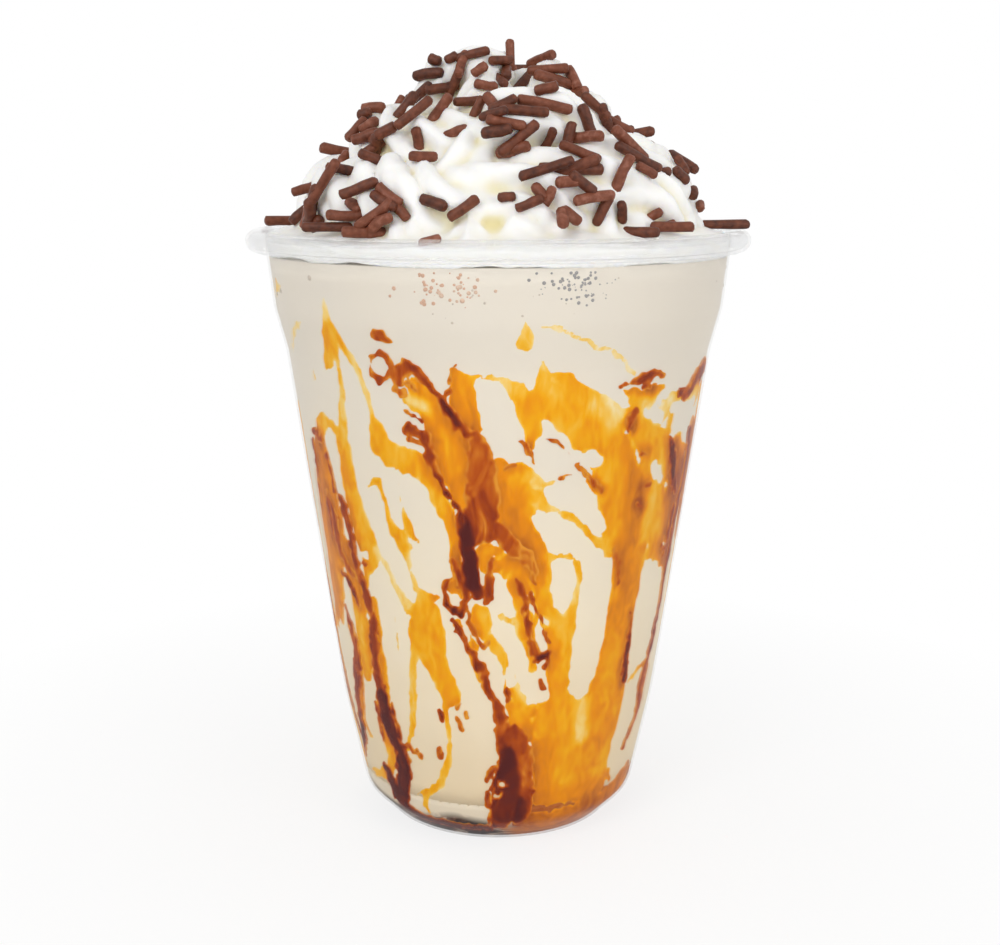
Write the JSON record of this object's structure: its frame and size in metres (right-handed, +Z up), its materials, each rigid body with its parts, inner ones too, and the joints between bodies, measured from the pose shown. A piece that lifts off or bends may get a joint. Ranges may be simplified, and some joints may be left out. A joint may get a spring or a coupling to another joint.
{
  "type": "milkshake in a clear plastic cup",
  "caption": "Full milkshake in a clear tapered cup with a rolled rim, caramel and chocolate sauce on the inside of the wall, and a heap of piped cream with chocolate sprinkles.",
  "frame": {"origin": "centre of the cup's foot, on the surface it stands on", "axes": "+Z up along the cup's axis, -Y towards the front"},
  "size_m": [0.098, 0.098, 0.1517],
  "materials": {
    "clear_plastic": "clear glossy PET",
    "settled_sauce": "glossy",
    "milkshake": "smooth wet",
    "whipped_cream": "soft satin"
  },
  "bodies": {
    "root": {"cup": "clear_plastic", "sauce_pool": "settled_sauce", "milkshake": "milkshake", "whipped_cream": "whipped_cream"}
  },
  "joints": []
}
